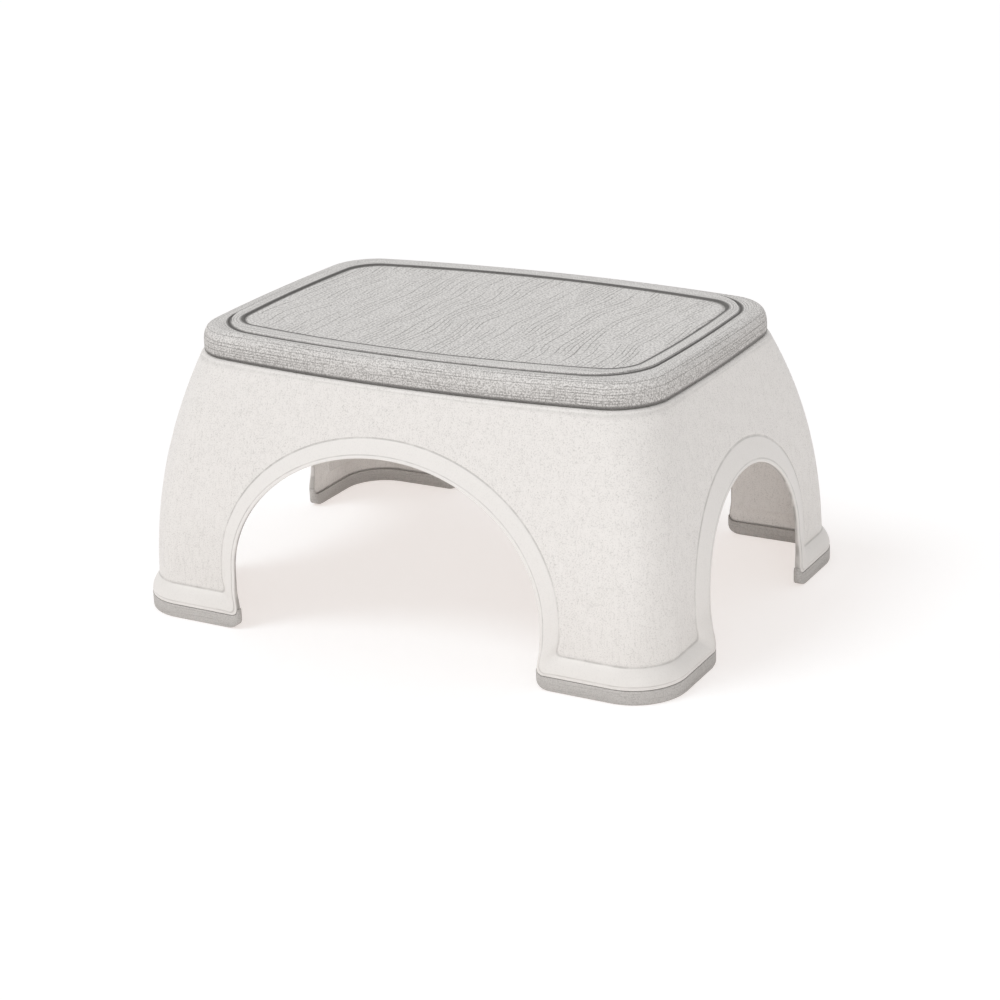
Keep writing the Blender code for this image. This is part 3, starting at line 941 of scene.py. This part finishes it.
def addLine(tree, uv, distance, halfWidth):
    return useGroup(tree, lineRound, place=uv, distance=distance, halfWidth=halfWidth)["mask"]


def addBump(tree, inputs, height, settings):
    strength, distance = settings["bump"]
    bump = addNode(tree, "ShaderNodeBump", {"Height": height, "Strength": strength, "Distance": distance})
    tree.links.new(bump.outputs["Normal"], inputs["Normal"])


# A ramp is given as from, to and what it returns at these
shellFinish = {
    "colour": (0.81, 0.785, 0.76, 1),
    "shade": (0.48, 0.46, 0.44, 1),
    "dust": (0.55, 0.52, 0.48, 1),
    # colour of the painted shade lines along the crease, the bead, the ledge and the rim
    "shadeLine": (0.36, 0.345, 0.33, 1),
    "roughness": (0.42, 0.6),  # untouched, worn
    "specular": 0.42,
    "grain": (0.0009, 0.1),  # size, unevenness
    "streaks": (620, 3, 0.6),  # a noise, drawn out upwards by the next value
    "streakStretch": 0.12,
    "streakHeight": 0.5,
    "toneRamp": (0.3, 0.75, 0, 0.05),
    "streakRamp": (0.52, 0.7, 0, 0.18),
    "pitRamp": (0.57, 0.72, 0, 0.48),
    "lipRamp": (0, 0.1, 1, 0.25),  # how grained it is, from the wall to the polished lip
    "legHeights": ((0.028, 0.042), (0.095, 0.06)),  # between these the crease's painted shade fades
    "legFading": 0.65,
    "lineNoise": (90, 1),
    "lineRamp": (0.38, 0.55, 0.55, 1),
    "dustHeight": 0.09,
    "dustAndShadeStrength": 0.35,
    "bump": (0.6, 0.0003),  # strength, distance
}
treadFinish = {
    "colour": (0.86, 0.84, 0.82, 1),
    "shade": (0.30, 0.287, 0.275, 1),
    # colour of the painted shade lines in the grooves and under the skirt
    "shadeLine": (0.12, 0.115, 0.11, 1),
    "roughness": (0.8, 0.66),
    "specular": 0.3,
    "panelFurrows": (0.05, 0.0036, 0.007),  # length, pitch, wander
    "edgeFurrows": (0.07, 0.002, 0.0008),
    "furrowShade": 0.75,
    "grain": (0.001, 0.0015),  # at the edge, on the panel
    "unevenness": 0.06,
    "speckleRamp": (0.47, 0.61, 0, 0.55),
    "paintedSkirtShade": 0.42,  # painted shade, strongest down at the skirt
    "relief": (0.7, 0.5),  # of the grain, of the furrows
    "bump": (0.8, 0.0006),
}
shoeFinish = {
    "colour": (0.55, 0.53, 0.51, 1),
    "shade": (0.36, 0.345, 0.33, 1),
    "roughness": (0.74, 0.6),
    "specular": 0.3,
    "furrows": (0.03, 0.0018, 0.0004),
    "furrowShade": 0.5,
    "grain": (0.0009, 0.06),
    "speckleRamp": (0.5, 0.62, 0, 0.45),
    "furrowRelief": 0.5,
    "dustHeight": 0.012,
    "dustAndShadeStrength": 0.7,
    "bump": (0.6, 0.0004),
}

# Dark lines of painted shade along creases, steps, grooves and edges: which, half its width, how dark
shellShadeLines = (("crease", 0.0010, 0.5), ("bead", 0.0006, 0.45), ("ledge", 0.0006, 0.2), ("rim", 0.0020, 0.9))
treadShadeLines = (("panel", 0.0034, 0.95), ("border", 0.0026, 0.95), ("skirt", 0.0028, 0.85))


def makeShellFinish(marks):
    finish, tree, shader, place = newFinish("satinPlastic", shellFinish)
    uv = addNode(tree, "ShaderNodeUVMap", uv_map="along").outputs["UV"]
    grain = addGrain(tree, place, *shellFinish["grain"])
    stretch = {"Vector": place, "Scale": (1, 1, shellFinish["streakStretch"])}
    upright = addNode(tree, "ShaderNodeMapping", stretch).outputs["Vector"]
    drawn = noise(tree, upright, *shellFinish["streaks"])
    # The lips are polished and the walls between them are grained
    lipMiddle, lipHalf = (marks["crease"] + marks["rim"]) / 2, (marks["rim"] - marks["crease"]) / 2
    grained = ramp(tree, addLine(tree, uv, lipMiddle, lipHalf), *shellFinish["lipRamp"])
    tone = ramp(tree, grain["tone"], *shellFinish["toneRamp"])
    streaks = ramp(tree, drawn, *shellFinish["streakRamp"])
    pits = ramp(tree, grain["height"], *shellFinish["pitRamp"])
    marked = maths(tree, "ADD", maths(tree, "ADD", tone, streaks), pits)
    mask = times(tree, marked, grained, clamp=True)
    colour = blended(tree, mask, shellFinish["colour"], shellFinish["shade"])
    # The crease's painted shade fades along the legs, between the arches and the feet, and every painted
    # shade line is a little uneven
    height = split(tree, place)["Z"]
    overFoot, underArch = (ramp(tree, height, *heights) for heights in shellFinish["legHeights"])
    onLeg = times(tree, overFoot, underArch)
    uneven = ramp(tree, noise(tree, place, *shellFinish["lineNoise"]), *shellFinish["lineRamp"])
    left = maths(tree, "SUBTRACT", 1, times(tree, onLeg, shellFinish["legFading"]))
    faded = times(tree, uneven, left)
    # Each line darkens the colour: painted shade
    for name, width, depth in shellShadeLines:
        shadeLine = times(tree, addLine(tree, uv, marks[name], width), faded if name == "crease" else uneven)
        colour = blended(tree, times(tree, shadeLine, depth), colour, shellFinish["shadeLine"])
    # Darker low on the legs, in patches: partly dust, partly painted shade
    wear = useGroup(tree, handlingAndShade, place=place, dustHeight=shellFinish["dustHeight"])
    dustAndShaded = times(tree, wear["dust"], shellFinish["dustAndShadeStrength"])
    tree.links.new(blended(tree, dustAndShaded, colour, shellFinish["dust"]), shader["Base Color"])
    tree.links.new(ramp(tree, wear["scuffs"], 0, 1, *shellFinish["roughness"]), shader["Roughness"])
    relief = maths(tree, "ADD", grain["height"], times(tree, drawn, shellFinish["streakHeight"]))
    addBump(tree, shader, times(tree, relief, grained), shellFinish)
    return finish


def makeTreadFinish(marks):
    finish, tree, shader, place = newFinish("softTreadRubber", treadFinish)
    uv = addNode(tree, "ShaderNodeUVMap", uv_map="along").outputs["UV"]
    parts = split(tree, uv)
    onPanel = maths(tree, "LESS_THAN", parts["Y"], marks["panel"])
    onTop = addFurrows(tree, place, *treadFinish["panelFurrows"])
    roundEdge = addFurrows(tree, combined(tree, parts["Y"], parts["X"]), *treadFinish["edgeFurrows"])
    elsewhere = times(tree, roundEdge, maths(tree, "SUBTRACT", 1, onPanel))
    furrows = maths(tree, "ADD", times(tree, onTop, onPanel), elsewhere)
    grainSize = ramp(tree, onPanel, 0, 1, *treadFinish["grain"])
    grain = addGrain(tree, place, grainSize, treadFinish["unevenness"])
    speckle = ramp(tree, grain["height"], *treadFinish["speckleRamp"])
    # Painted shade: the shoulder darkens down towards the skirt
    skirtShadeMask = ramp(tree, parts["Y"], marks["shoulder"], marks["skirt"], 0, treadFinish["paintedSkirtShade"])
    marked = maths(tree, "ADD", times(tree, furrows, treadFinish["furrowShade"]), speckle)
    mask = maths(tree, "ADD", marked, skirtShadeMask, clamp=True)
    colour = blended(tree, mask, treadFinish["colour"], treadFinish["shade"])
    # Each line darkens the colour: painted shade in the grooves and at the skirt's joint
    for name, width, depth in treadShadeLines:
        shadeLine = addLine(tree, uv, marks[name], width)
        colour = blended(tree, times(tree, shadeLine, depth), colour, treadFinish["shadeLine"])
    tree.links.new(colour, shader["Base Color"])
    scuffs = useGroup(tree, handlingAndShade, place=place)["scuffs"]
    tree.links.new(ramp(tree, scuffs, 0, 1, *treadFinish["roughness"]), shader["Roughness"])
    high, deep = treadFinish["relief"]
    raised, sunk = times(tree, grain["height"], high), times(tree, furrows, deep)
    addBump(tree, shader, maths(tree, "SUBTRACT", raised, sunk), treadFinish)
    return finish


def makeShoeFinish():
    finish, tree, shader, place = newFinish("shoeRubber", shoeFinish)
    parts = split(tree, place)
    level = combined(tree, parts["Z"], maths(tree, "ADD", parts["X"], parts["Y"]))
    furrows = addFurrows(tree, level, *shoeFinish["furrows"])
    grain = addGrain(tree, place, *shoeFinish["grain"])
    # Darker at the foot of the shoe: partly dust, partly painted shade
    wear = useGroup(tree, handlingAndShade, place=place, dustHeight=shoeFinish["dustHeight"])
    speckle = ramp(tree, grain["height"], *shoeFinish["speckleRamp"])
    marked = maths(tree, "ADD", speckle, times(tree, furrows, shoeFinish["furrowShade"]))
    dustAndShaded = times(tree, wear["dust"], shoeFinish["dustAndShadeStrength"])
    mask = maths(tree, "ADD", marked, dustAndShaded, clamp=True)
    tree.links.new(blended(tree, mask, shoeFinish["colour"], shoeFinish["shade"]), shader["Base Color"])
    tree.links.new(ramp(tree, wear["scuffs"], 0, 1, *shoeFinish["roughness"]), shader["Roughness"])
    sunk = times(tree, furrows, shoeFinish["furrowRelief"])
    addBump(tree, shader, maths(tree, "SUBTRACT", grain["height"], sunk), shoeFinish)
    return finish


makeShell()
makeTread()
shoeRubber = makeShoeFinish()
for corner in corners():
    makeShoe(*corner, shoeRubber)


room = {
    "floorSize": 8,
    "floorColour": (0.90, 0.90, 0.90, 1),
    "floorSeen": (0.49, 0.56, 0.6, 1),  # the same floor as the camera sees it, which leaves a pale shadow
    "glowColour": (1, 0.89, 0.835, 1),
    "floorGlow": (0.25, 0.615),  # lit from below: what the stool gets of it, what the camera sees
    "skyLight": 0.58,
    "sun": ((-0.8, -0.7, 1.5), 0.95, 25),  # where it shines from, strength, softness in degrees
    "rightFill": ((1.35, -1.9, 0.3), 1.3, 11),  # place, width, power
    "leftFill": ((-1.1, -2.0, 0.3), 1.3, 1.2),
}
lens = {
    "azimuth": 30.0186,
    "elevation": 20.3439,
    "roll": -2.3875,
    "length": 85.83,
    "sensor": 36,
    "distance": 1.7363,
    "aim": (0.0061, -0.03841),  # right and up of the middle of the stool
}


def seenRays(tree):  # 1 where the camera looks, also by reflection or through glass
    path = addNode(tree, "ShaderNodeLightPath").outputs
    indirect = maths(tree, "MAXIMUM", path["Is Glossy Ray"], path["Is Transmission Ray"])
    return maths(tree, "MAXIMUM", path["Is Camera Ray"], indirect)


def makeFloor():
    bm = bmesh.new()
    bmesh.ops.create_grid(bm, x_segments=1, y_segments=1, size=room["floorSize"])
    floor = newPiece("floor", bm)
    finish = bpy.data.materials.new("paleFloor")
    finish.use_nodes = True
    tree = finish.node_tree
    shader = tree.nodes["Principled BSDF"].inputs
    shader["Roughness"].default_value = 1
    shader["Specular IOR Level"].default_value = 0
    shader["Emission Color"].default_value = room["glowColour"]
    seen = seenRays(tree)
    tree.links.new(blended(tree, seen, room["floorColour"], room["floorSeen"]), shader["Base Color"])
    tree.links.new(ramp(tree, seen, 0, 1, *room["floorGlow"]), shader["Emission Strength"])
    floor.data.materials.append(finish)


def makeLight():
    world = bpy.data.worlds.new("studio")
    bpy.context.scene.world = world
    world.use_nodes = True
    tree = world.node_tree
    tree.nodes.clear()
    strength = ramp(tree, seenRays(tree), 0, 1, room["skyLight"], 1)
    sky = addNode(tree, "ShaderNodeBackground", {"Color": (1, 1, 1, 1), "Strength": strength})
    addNode(tree, "ShaderNodeOutputWorld", {"Surface": sky.outputs[0]})
    for name, kind in (("sun", "SUN"), ("rightFill", "AREA"), ("leftFill", "AREA")):
        place, first, second = room[name]
        lamp = bpy.data.lights.new(name, kind)
        if kind == "SUN":
            lamp.energy, lamp.angle = first, math.radians(second)
        else:
            lamp.size, lamp.energy = first, second
        shown = bpy.data.objects.new(name, lamp)
        bpy.context.scene.collection.objects.link(shown)
        shown.location = place
        shown.rotation_euler = (-Vector(place)).to_track_quat("-Z", "Y").to_euler()


def makeCamera():
    turn, lift, roll = (math.radians(lens[name]) for name in ("azimuth", "elevation", "roll"))
    back = Vector((math.sin(turn) * math.cos(lift), -math.cos(turn) * math.cos(lift), math.sin(lift)))
    right = Vector((math.cos(turn), math.sin(turn), 0))
    up = back.cross(right)
    tiltedRight = right * math.cos(roll) + up * math.sin(roll)
    tiltedUp = up * math.cos(roll) - right * math.sin(roll)
    target = Vector((0, 0, plan["height"] / 2)) + right * lens["aim"][0] + up * lens["aim"][1]
    camera = bpy.data.objects.new("camera", bpy.data.cameras.new("camera"))
    bpy.context.scene.collection.objects.link(camera)
    camera.data.lens = lens["length"]
    camera.data.sensor_width = lens["sensor"]
    facing = Matrix((tiltedRight, tiltedUp, back)).transposed().to_4x4()
    camera.matrix_world = Matrix.Translation(target + back * lens["distance"]) @ facing
    bpy.context.scene.camera = camera


makeFloor()
makeLight()
makeCamera()
bpy.context.scene.view_settings.view_transform = "Standard"
print("room and camera ready")
